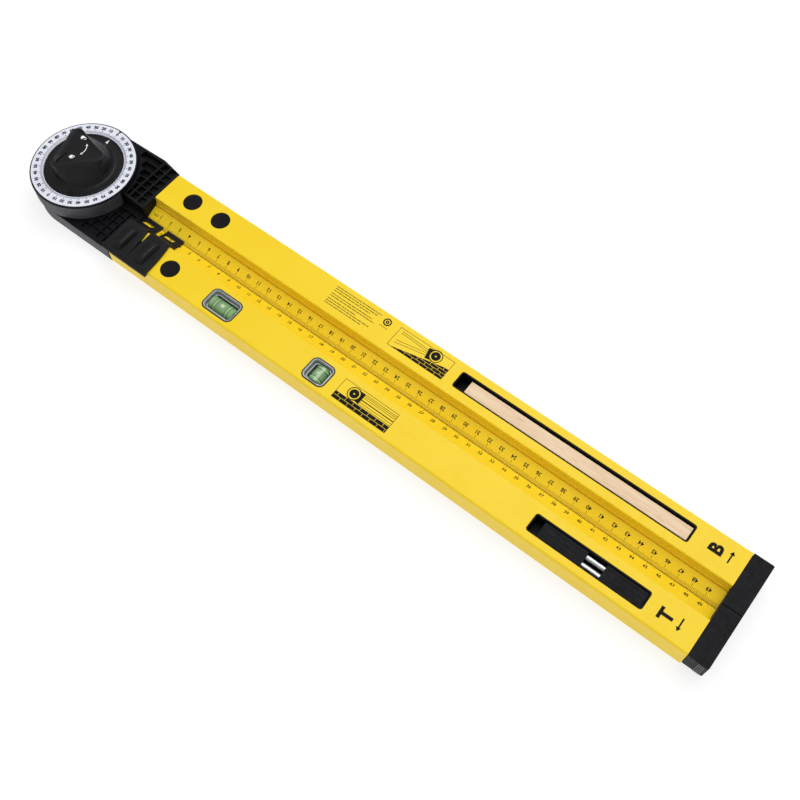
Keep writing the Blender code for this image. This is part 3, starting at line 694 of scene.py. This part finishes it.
def make_t_prints():
    """A pictogram and the arm's letter with its arrow."""
    sheet = bmesh.new()
    place = top_place(278.0, -36.2)
    width, height = 46.8, 17.0
    line = 0.3
    draw_frame(sheet, (0.0, width), (0.0, height), line, place)
    draw_bricks(sheet, (0.2, width - 0.2), 2, 2.95, None, place)
    for y in (6.4, 8.1, 12.4, 13.8, 15.0):
        draw_line(sheet, (17.6, y), (width, y), line, place)
    draw_line(sheet, (18.0, 10.2), (width, 10.2), 0.7, place)
    draw_tool(sheet, 1.0, place @ Matrix.Translation((12.0, 10.9, INK)))
    letter = top_place(539.0, -27.85, (0, 1, 0), (-1, 0, 0))
    draw_text(sheet, "T", 9.9, letter, 1.0, 0.045)
    draw_arrow(sheet, top_place(549.0, -27.5, (-1, 0, 0), (0, -1, 0)), 9.5)
    piece("t_prints", sheet, INK_BLACK, "swing_arm")


# --- dial ------------------------------------------------------------------------------
DIAL_FIGURE_RADIUS = 37.0
DIAL_FIGURE_HEIGHT = 2.9
TEN_TICK_RADIUS = 34.2
FIVE_TICK_LENGTH = 2.2
DEGREE_TICK_LENGTH = 1.7
TICK_OUTER_END = 2.25      # all degree ticks end this far out from the ring's inner edge


def make_dial_prints():
    """Figures every ten degrees, fine degree ticks and the black index notch."""
    figures = bmesh.new()
    ticks = bmesh.new()
    slope = BEVEL_DROP / (BEVEL_START - DIAL_INNER)
    for step in range(36):
        direction = math.radians(90 + 10 * step)
        outward = Vector((math.cos(direction), math.sin(direction), 0.0))
        right = Vector((outward.y, -outward.x, 0.0))
        reading = 10 * step % 180
        reading = reading if reading <= 90 else 180 - reading
        place = lay(outward * DIAL_FIGURE_RADIUS + Vector((0, 0, DIAL_TOP)), right, outward)
        draw_text(figures, str(reading), DIAL_FIGURE_HEIGHT, place, 1.0, 0.05)
        place = lay(outward * TEN_TICK_RADIUS + Vector((0, 0, DIAL_TOP)), right, outward)
        draw_line(figures, (0.0, -0.6), (0.0, 0.6), 0.4, place)
    for degree in range(360):
        direction = math.radians(degree)
        outward = Vector((math.cos(direction), math.sin(direction), 0.0))
        right = Vector((outward.y, -outward.x, 0.0))
        low = Vector((0, 0, DIAL_TOP - BEVEL_DROP + 0.1 * slope))
        place = lay(outward * (DIAL_INNER + 0.1) + low, right, outward + Vector((0, 0, slope)))
        length = FIVE_TICK_LENGTH if degree % 5 == 0 else DEGREE_TICK_LENGTH
        draw_line(ticks, (0.0, TICK_OUTER_END - length), (0.0, TICK_OUTER_END), 0.22, place)
    piece("dial_figures", figures, INK_DIAL, "fixed_arm")
    piece("dial_ticks", ticks, INK_FINE, "fixed_arm")
    notch = bmesh.new()
    place = lay((0.0, DIAL_RADIUS, DIAL_TOP), (1, 0, 0), (0, 1, 0))
    draw_shape(notch, [(-1.4, 0.1), (0.0, -2.3), (1.4, 0.1)], place)
    piece("dial_index", notch, INK_BLACK, "fixed_arm")


def make_pointer_disc():
    """Inner disc with a raised rim, a dished track, a low dome and the white pointer."""
    low, top = DISC_LOW.z, DISC_HIGH.z
    outer = DISC_HIGH.x
    profile = [(4.3, low), (outer, low), (outer, top - 0.5)]
    profile += [(outer - 0.15, top - 0.15), (outer - 0.4, top), (outer - 0.7, top)]
    profile += [(outer - 0.9, top - 0.3), (25.4, top - 0.3), (25.0, top - 0.2), (24.6, top + 0.1)]
    profile += [(24.2, top + 0.3), (10.6, top + 0.3), (10.6, top - 0.2), (4.3, top - 0.2)]
    piece("pointer_plate", turned(profile, 160), SATIN_BLACK, "swing_arm",
          stands_for=["pointer_disc"])
    mark = bmesh.new()
    place = lay((-1.35, 27.4, top - 0.3), (1, 0, 0), (0, 1, 0))
    draw_shape(mark, [(-1.1, -1.7), (1.1, -1.7), (0.2, 1.7), (-0.2, 1.7)], place)
    piece("pointer_mark", mark, INK_WHITE, "swing_arm")


# --- locking knob ----------------------------------------------------------------------
LOBE_ANGLE = 17.0
LOBE_REACH = 22.2
LOBE_TIP = 5.6             # round end of each lobe
LOBE_HOLLOW = 0.6          # how far the middle of each side is drawn in
SKIRT_RADIUS = 24.0
KNOB_STEPS = 240
TOP_ROUND = 1.0
TOP_DISH = 0.3


def smooth_step(value):
    """0 to 1 with a level start and end."""
    value = min(1.0, max(0.0, value))
    return value * value * (3.0 - 2.0 * value)


def lobed_radius(angle, reach):
    """Outline of the knob's top: round tips joined by slightly hollow sides."""
    turn = abs((math.degrees(angle) - LOBE_ANGLE + 60.0) % 120.0 - 60.0)
    centre = reach - LOBE_TIP
    side = centre / 2 + LOBE_TIP
    half_side = centre * math.sin(math.radians(60.0))
    from_middle = math.radians(60.0 - turn)
    along = side * math.tan(from_middle)
    if along < half_side:
        hollow = LOBE_HOLLOW * math.cos(math.pi / 2 * along / half_side) ** 2
        return (side - hollow) / math.cos(from_middle)
    across = centre * math.sin(math.radians(turn))
    return centre * math.cos(math.radians(turn)) + math.sqrt(LOBE_TIP ** 2 - across ** 2)


def knob_radius(angle, height):
    """Distance of the knob's wall from its axis; height runs from 0 to 1."""
    flare = (SKIRT_RADIUS - LOBE_REACH) * math.exp(-height / 0.09)
    reach = LOBE_REACH + flare
    share = smooth_step((height / 0.96) ** 1.25)
    return (1.0 - share) * reach + share * lobed_radius(angle, reach)


def knob_loop(z, inset):
    """One ring of the knob at this height, drawn in by inset."""
    height = (z - KNOB_LOW.z) / (KNOB_HIGH.z - KNOB_LOW.z)
    loop = []
    for index in range(KNOB_STEPS):
        angle = math.tau * index / KNOB_STEPS
        radius = knob_radius(angle, min(height, 1.0)) - inset
        loop.append((radius * math.cos(angle), radius * math.sin(angle), z))
    return loop


def make_knob():
    """Tall three-lobed knob with a softly rounded rim round a slightly sunk top."""
    low, top = KNOB_LOW.z, KNOB_HIGH.z
    loops = [knob_loop(low, 0.15), knob_loop(low + 0.15, 0.0)]
    walls = 30
    for index in range(1, walls + 1):
        share = (index / walls) ** 1.25
        loops.append(knob_loop(low + 0.15 + (top - TOP_ROUND - low - 0.15) * share, 0.0))
    for index in range(1, 6):
        angle = math.radians(90 * index / 5)
        z = top - TOP_ROUND + TOP_ROUND * math.sin(angle)
        loops.append(knob_loop(z, TOP_ROUND * (1.0 - math.cos(angle))))
    for inset, sink in ((0.4, 0.0), (0.8, 0.3), (1.3, 1.0)):
        ring = knob_loop(top, TOP_ROUND + inset)
        loops.append([(x, y, top - sink * TOP_DISH) for x, y, z in ring])
    for share in (0.66, 0.33, 0.06):
        ring = knob_loop(top, TOP_ROUND + 1.3)
        loops.append([(x * share, y * share, top - TOP_DISH) for x, y, z in ring])
    mesh = bmesh.new()
    add_loops(mesh, loops)
    knob = piece("lock_knob_body", mesh, SATIN_BLACK, "knob",
                 stands_for=["lock_knob"])
    combine(knob, prism(circle(10.4, 48), low - 2.0, low + 1.3), "DIFFERENCE")
    combine(knob, prism(circle(6.7, 32), low - 2.0, low + 12.8), "DIFFERENCE")
    groove = arc(0.9, 180, 360, 8, (0.0, -4.6)) + arc(0.9, 0, 180, 8, (0.0, 4.6))
    lobe = Vector((-4.7, -12.2))
    groove = [(lobe.x + x, lobe.y + y) for x, y in groove]
    combine(knob, prism(groove, top - 1.1, top + 1.0), "DIFFERENCE")
    make_knob_icons(top - TOP_DISH)


def padlock(sheet, place, opened):
    """A small padlock drawn as a pointed body and a shackle."""
    body = [(-1.5, 0.7), (-1.6, -0.9), (0.0, -2.3), (1.6, -0.9), (1.5, 0.7)]
    draw_shape(sheet, body, place)
    shackle = place @ Matrix.Translation((0.7 if opened else 0.0, 0.7, 0.0))
    shackle = shackle @ Matrix.Rotation(math.radians(-28.0 if opened else 0.0), 4, "Z")
    rise = 0.9 if opened else 0.4
    outer = arc(1.2, 0, 180, 10, (0.0, rise))
    inner = arc(0.65, 180, 0, 10, (0.0, rise))
    draw_shape(sheet, outer + inner, shackle)
    for x in (-0.92, 0.92):
        if x < 0 and opened:
            continue
        draw_line(sheet, (x, -0.1), (x, rise + 0.05), 0.55, shackle)


def make_knob_icons(top):
    """White padlocks, open and closed, and the curved arrow between them."""
    sheet = bmesh.new()
    up = (0.78, 0.62, 0.0)
    right = (0.62, -0.78, 0.0)
    padlock(sheet, lay((-5.2, 11.2, top), (0.42, 0.9, 0.0), (0.9, -0.42, 0.0)), True)
    padlock(sheet, lay((1.2, -6.9, top), right, up), False)
    centre = (-3.9, 1.35)
    band = arc(9.55, 42, -9, 20, centre) + arc(8.95, -9, 42, 20, centre)
    level = lay((0, 0, top), (1, 0, 0), (0, 1, 0))
    draw_shape(sheet, band, level)
    for start_angle, tip_angle in ((-8, -20), (41, 53)):
        end = arc(9.25, start_angle, tip_angle, 2, centre)
        start, tip = Vector(end[0]), Vector(end[-1])
        across = Vector((-(tip - start).y, (tip - start).x)).normalized() * 1.0
        draw_shape(sheet, [tuple(start + across), tuple(start - across), tuple(tip)], level)
    piece("knob_icons", sheet, INK_WHITE, "knob")


# --- housings: fine ribbing ------------------------------------------------------------
def ribbed_band(path, normals, z0, z1, height):
    """A thin strip along a wall with a pointed rib at every other point."""
    outer = []
    for index, (point, normal) in enumerate(zip(path, normals)):
        out = height if index % 2 else 0.02
        outer.append((point[0] + normal[0] * out, point[1] + normal[1] * out))
    inner = [(p[0] - n[0] * 0.3, p[1] - n[1] * 0.3) for p, n in zip(path, normals)]
    mesh = bmesh.new()
    outline = outer + list(reversed(inner))
    add_loops(mesh, [[(x, y, z) for x, y in outline] for z in (z0, z1)])
    return mesh


def make_foot_ribs():
    """Fine upright ribs round the sides of the foot and the drum, coloured a lighter grey that paints
    on the light they catch.
    """
    path, normals = [], []
    for index in range(261):
        angle = math.radians(92 + 178 * index / 260)
        normals.append((math.cos(angle), math.sin(angle)))
        path.append((FOOT_RADIUS * math.cos(angle), FOOT_RADIUS * math.sin(angle)))
    x = 0.6
    while x < SCALE_ZERO - 1.0:
        path.append((x, -FOOT_RADIUS))
        normals.append((0.0, -1.0))
        x += 0.52
    piece("foot_ribs", ribbed_band(path, normals, 0.9, NECK_TOP - 0.9, 0.3), RIB_PAINTED_LIGHT,
          "swing_arm")
    path, normals = [], []
    for index in range(381):
        angle = math.radians(92 + 265 * index / 380)
        normals.append((math.cos(angle), math.sin(angle)))
        path.append((DRUM_RADIUS * math.cos(angle), DRUM_RADIUS * math.sin(angle)))
    piece("drum_ribs", ribbed_band(path, normals, NECK_TOP + 1.3, DIAL_TOP - 1.6, 0.3), RIB_PAINTED_LIGHT,
          "fixed_arm")


def make_cap_ribs():
    """Grip ribs on the outer side of both end caps, in the same lighter grey that paints on caught
    light.
    """
    low, high = box_mm("b_end_cap")
    end = high.x
    for arm, side in SIDES.items():
        mesh = bmesh.new()
        for index in range(4):
            x = end - 2.6 - 1.2 * index
            section = arc(0.3, 0, 180, 6, (x, ARM_OUTER - 0.06))
            loops = [[(u, side * v, z) for u, v in section] for z in (low.z + 1.0, ARM_TOP - 2.0)]
            add_loops(mesh, loops)
        piece(f"{arm}_cap_ribs", mesh, RIB_PAINTED_LIGHT, ARM_BODY[arm])


# --- sliding markers -------------------------------------------------------------------
def slider_section():
    """Section (distance from the centre gap, height over the arm) of a marker."""
    outer = ARM_OUTER + 0.4
    points = [(outer, -1.4), (outer + 2.4, -1.4), (outer + 3.0, -0.8)]
    points += arc(1.4, 0, 90, 5, (outer + 1.6, 0.6))
    points += arc(3.0, 90, 150, 6, (14.4, -1.0))
    points += [(11.2, 0.0), (10.9, -2.0), (10.5, -5.7), (9.6, -7.1), (0.9, -10.7), (-1.0, -10.7)]
    points += [(-1.0, -11.9), (0.7, -11.9), (10.2, -7.85), (11.4, -7.4), (12.4, -6.2)]
    points += [(12.7, 0.3), (outer, 0.3)]
    return [(y, ARM_TOP + z) for y, z in points]


def grip_loops(start):
    """Stepped thumb grip across a marker, with round ends."""
    base = ARM_TOP + 1.3
    steps = [(4.0, 0.0), (4.3, 1.3), (5.2, 1.9), (6.1, 2.0), (6.4, 2.7), (7.3, 3.2), (8.2, 3.3)]
    steps += [(8.5, 3.9), (9.6, 4.3), (11.8, 4.4), (13.0, 4.0), (13.8, 3.1), (14.4, 1.6), (14.9, 0.0)]
    loops = []
    for y, rise, draw in ((-39.2, 0.05, 0.86), (-38.9, 0.32, 0.9), (-38.2, 0.60, 0.94),
                          (-37.0, 0.84, 0.98), (-35.4, 0.97, 1.0), (-34.0, 1.0, 1.0),
                          (-22.6, 1.0, 1.0), (-21.0, 0.95, 1.0), (-19.4, 0.78, 0.98),
                          (-18.3, 0.5, 0.94), (-17.7, 0.26, 0.9), (-17.5, 0.05, 0.86)):
        loop = []
        for x, z in steps:
            loop.append((start + 9.6 + (x - 9.6) * draw, y, base + z * rise))
        loops.append(loop)
    return loops


def make_slider(name):
    """Sliding marker: plate, grip, pointed blade over the ruler and a reading window."""
    low, high = box_mm(name)
    start, end = low.x, high.x
    slider = piece(f"{name}_marker", lengthwise(slider_section(), start, end, -1.0),
                   SATIN_BLACK, name, stands_for=[name])
    taper = [(end + 3, -38.0), (end, -38.0), (end - 0.4, -31.0), (end - 1.2, -24.0)]
    taper += [(end - 2.2, -18.0), (end - 3.2, -13.0), (end - 4.1, -9.0), (end - 4.5, -3.0)]
    taper += [(end - 4.9, 0.2), (end - 5.6, 3.0), (end + 3, 3.0)]
    combine(slider, prism(taper, 0.0, high.z + 5.0), "DIFFERENCE")
    window = [(start + 0.9, -5.9), (start + 10.8, -5.9), (start + 13.2, -2.8), (start + 2.4, -2.8)]
    combine(slider, prism(window, 0.0, high.z + 5.0), "DIFFERENCE")
    grip = bmesh.new()
    add_loops(grip, grip_loops(start))
    combine(slider, grip, "UNION")
    slider.data.shade_smooth()
    slider.data.set_sharp_from_angle(angle=math.radians(28))
    soften(slider, 0.16)


# --- level vials -----------------------------------------------------------------------
TUBE_RADIUS = 5.7
TUBE_Z = ARM_TOP - 6.6     # axis of the tubes
LEDGE_Z = ARM_TOP - 3.2    # pale ledge part way down the well
WELL_FLOOR_Z = ARM_TOP - 12.4


def inset_outline(node, inset, radius):
    """The vial block's plan outline drawn in by inset."""
    low, high = box_mm(node)
    x_range = (low.x + inset, high.x - inset)
    y_range = (low.y + inset, high.y - inset)
    return rounded_rectangle(x_range, y_range, radius)


def make_vial(kind, axis):
    """Acrylic frame round a deep well that holds the green tube with its rings and bubble."""
    block = f"vial_block_{kind}"
    low, high = box_mm(block)
    top = high.z
    clear = FINISHES["clear_acrylic"]
    bezel = ring_prism(inset_outline(block, -1.3, 4.9), inset_outline(block, -0.25, 3.8),
                       ARM_TOP - 0.3, ARM_TOP + 0.15)
    piece(f"vial_gasket_{kind}", bezel, GASKET, "swing_arm")
    flange = ring_prism(inset_outline(block, -0.3, 3.9), inset_outline(block, 0.15, 3.5),
                        ARM_TOP - 0.2, ARM_TOP + 0.4)
    piece(f"vial_rim_{kind}", flange, clear, "swing_arm", bevel=0.15)
    rim = inset_outline(block, 0.45, 3.2)
    walls = ring_prism(inset_outline(block, 0.0, 3.6), rim, low.z, top)
    piece(f"vial_frame_{kind}", walls, clear, "swing_arm",
          bevel=0.2, stands_for=[block])
    lining = ring_prism(inset_outline(block, 0.4, 3.2), inset_outline(block, 0.6, 3.1),
                        WELL_FLOOR_Z, top - 0.5)
    piece(f"vial_wall_{kind}", lining, WELL_GREY, "swing_arm")
    step = ring_prism(rim, inset_outline(block, 2.0, 2.0), WELL_FLOOR_Z, LEDGE_Z - 0.3)
    piece(f"vial_step_{kind}", step, WELL_GREY, "swing_arm")
    lip = ring_prism(inset_outline(block, 1.4, 2.5), inset_outline(block, 2.1, 1.95),
                     LEDGE_Z - 0.6, LEDGE_Z)
    piece(f"vial_ledge_{kind}", lip, clear, "swing_arm", bevel=0.1)
    floor = prism(inset_outline(block, 0.7, 2.6), low.z, WELL_FLOOR_Z)
    piece(f"vial_floor_{kind}", floor, WELL_GREY, "swing_arm")
    centre = (low + high) / 2
    span = high - low
    half = (span.x if axis.x else span.y) / 2 - 1.7
    origin = Vector((centre.x, centre.y, TUBE_Z))
    tube = turned_about([(TUBE_RADIUS - 0.5, -half), (TUBE_RADIUS, -half + 0.5),
                         (TUBE_RADIUS, half - 0.5), (TUBE_RADIUS - 0.5, half)], 56, origin, axis)
    piece(f"vial_glass_{kind}", tube, FINISHES["vial_green"], "swing_arm",
          stands_for=[f"vial_tube_{kind}"])
    make_vial_rings(kind, origin, axis, half)


def make_vial_rings(kind, origin, axis, half):
    """Dark reading rings, pale end bands and the bubble."""
    rings, bands = bmesh.new(), bmesh.new()
    turn = Vector((0.0, 0.0, 1.0)).rotation_difference(axis).to_matrix()

    def band(target, along, width, radius):
        inner = TUBE_RADIUS - 0.4
        rows = []
        for r, offset in ((inner, -width), (radius, -width), (radius, width), (inner, width)):
            points = [(x, y, along + offset) for x, y in circle(r, 56)]
            rows.append([turn @ Vector(point) + origin for point in points])
        add_loops(target, rows, capped=False)

    gap = min(4.4, half * 0.5)
    for sign in (-1.0, 1.0):
        band(rings, sign * gap, 0.2, TUBE_RADIUS + 0.07)
        band(rings, sign * (gap + 2.5), 0.14, TUBE_RADIUS + 0.06)
        band(bands, sign * (gap + 1.1), 0.38, TUBE_RADIUS + 0.04)
    piece(f"vial_rings_{kind}", rings, RING_DARK, "swing_arm")
    piece(f"vial_bands_{kind}", bands, RING_LIGHT, "swing_arm")
    length = gap - 0.7
    profile = []
    for index in range(9):
        angle = math.radians(-90 + 180 * index / 8)
        profile.append((max(0.05, 2.6 * math.cos(angle)), length * math.sin(angle)))
    raised = origin + Vector((0.0, 0.0, TUBE_RADIUS - 2.25))
    piece(f"vial_bubble_{kind}", turned_about(profile, 32, raised, axis), BUBBLE, "swing_arm")


# --- insert with rods ------------------------------------------------------------------
def make_insert_lines():
    """Shallow lengthwise ribs on the insert's two blocks."""
    for name in ("near", "far"):
        low, high = box_mm(f"insert_block_{name}")
        mesh = bmesh.new()
        for y in (low.y + 2.2, (low.y + high.y) / 2, high.y - 2.2):
            section = arc(0.3, 0, 180, 5, (y, high.z - 0.12))
            add_loops(mesh, [[(x, v, z) for v, z in section] for x in (low.x + 1.5, high.x - 1.5)])
        piece(f"insert_ribs_{name}", mesh, FINISHES["black_plastic"], "insert")


# --- studio ----------------------------------------------------------------------------
def area_light(name, position, target, size, power, colour=(1.0, 1.0, 1.0)):
    """A soft square light aimed at a point, in metres and watts."""
    data = bpy.data.lights.new(name, "AREA")
    data.size = size
    data.energy = power
    data.color = colour
    light = bpy.data.objects.new(name, data)
    light.location = position
    direction = Vector(target) - Vector(position)
    light.rotation_mode = "QUATERNION"
    light.rotation_quaternion = direction.to_track_quat("-Z", "Y")
    bpy.context.scene.collection.objects.link(light)


def make_studio():
    """White floor, even sky and two soft lights."""
    scene = bpy.context.scene
    world = bpy.data.worlds.new("studio")
    world.use_nodes = True
    background = world.node_tree.nodes["Background"]
    background.inputs["Color"].default_value = (1.0, 1.0, 1.0, 1.0)
    background.inputs["Strength"].default_value = 0.5
    scene.world = world
    scene.view_settings.view_transform = "Standard"
    paper = Finish("paper", (0.3, 0.3, 0.3), 0.9, specular=0.0)
    paper.set("Emission Color", (1.0, 1.0, 1.0, 1.0))
    paper.set("Emission Strength", 0.76)
    sheet = prism(rectangle((-4000, 4500), (-4000, 4000)), -20.0, -0.25)
    floor = to_object("floor", sheet, paper.material)
    middle = (cad_box[0] + cad_box[1]) / 2
    area_light("key", (0.28, 0.70, 1.5), middle, 1.4, 16.5)
    area_light("fill", (0.2, -1.2, 1.0), middle, 1.6, 2.4)


def make_camera():
    """Camera at the reference viewing angle, turned a little about its own axis."""
    position = Vector((0.52488, -0.25474, 0.64868))
    target = Vector((0.31319, -0.00450, 0.008))
    roll = Quaternion((0.0, 0.0, 1.0), math.radians(-2.495))
    data = bpy.data.cameras.new("camera")
    data.lens = 46.36
    data.sensor_width = 36.0
    data.clip_start = 0.01
    camera = bpy.data.objects.new("camera", data)
    camera.location = position
    camera.rotation_mode = "QUATERNION"
    camera.rotation_quaternion = (target - position).to_track_quat("-Z", "Y") @ roll
    bpy.context.scene.collection.objects.link(camera)
    bpy.context.scene.camera = camera


dress_nodes()
for arm_name in SIDES:
    make_scale(arm_name)
make_b_prints()
make_t_prints()
make_dial_prints()
make_pointer_disc()
make_knob()
make_foot_ribs()
make_cap_ribs()
for slider_name in ("slider_near", "slider_far"):
    make_slider(slider_name)
make_vial("long", Vector((1.0, 0.0, 0.0)))
make_vial("cross", Vector((0.0, 1.0, 0.0)))
make_insert_lines()
make_studio()
make_camera()
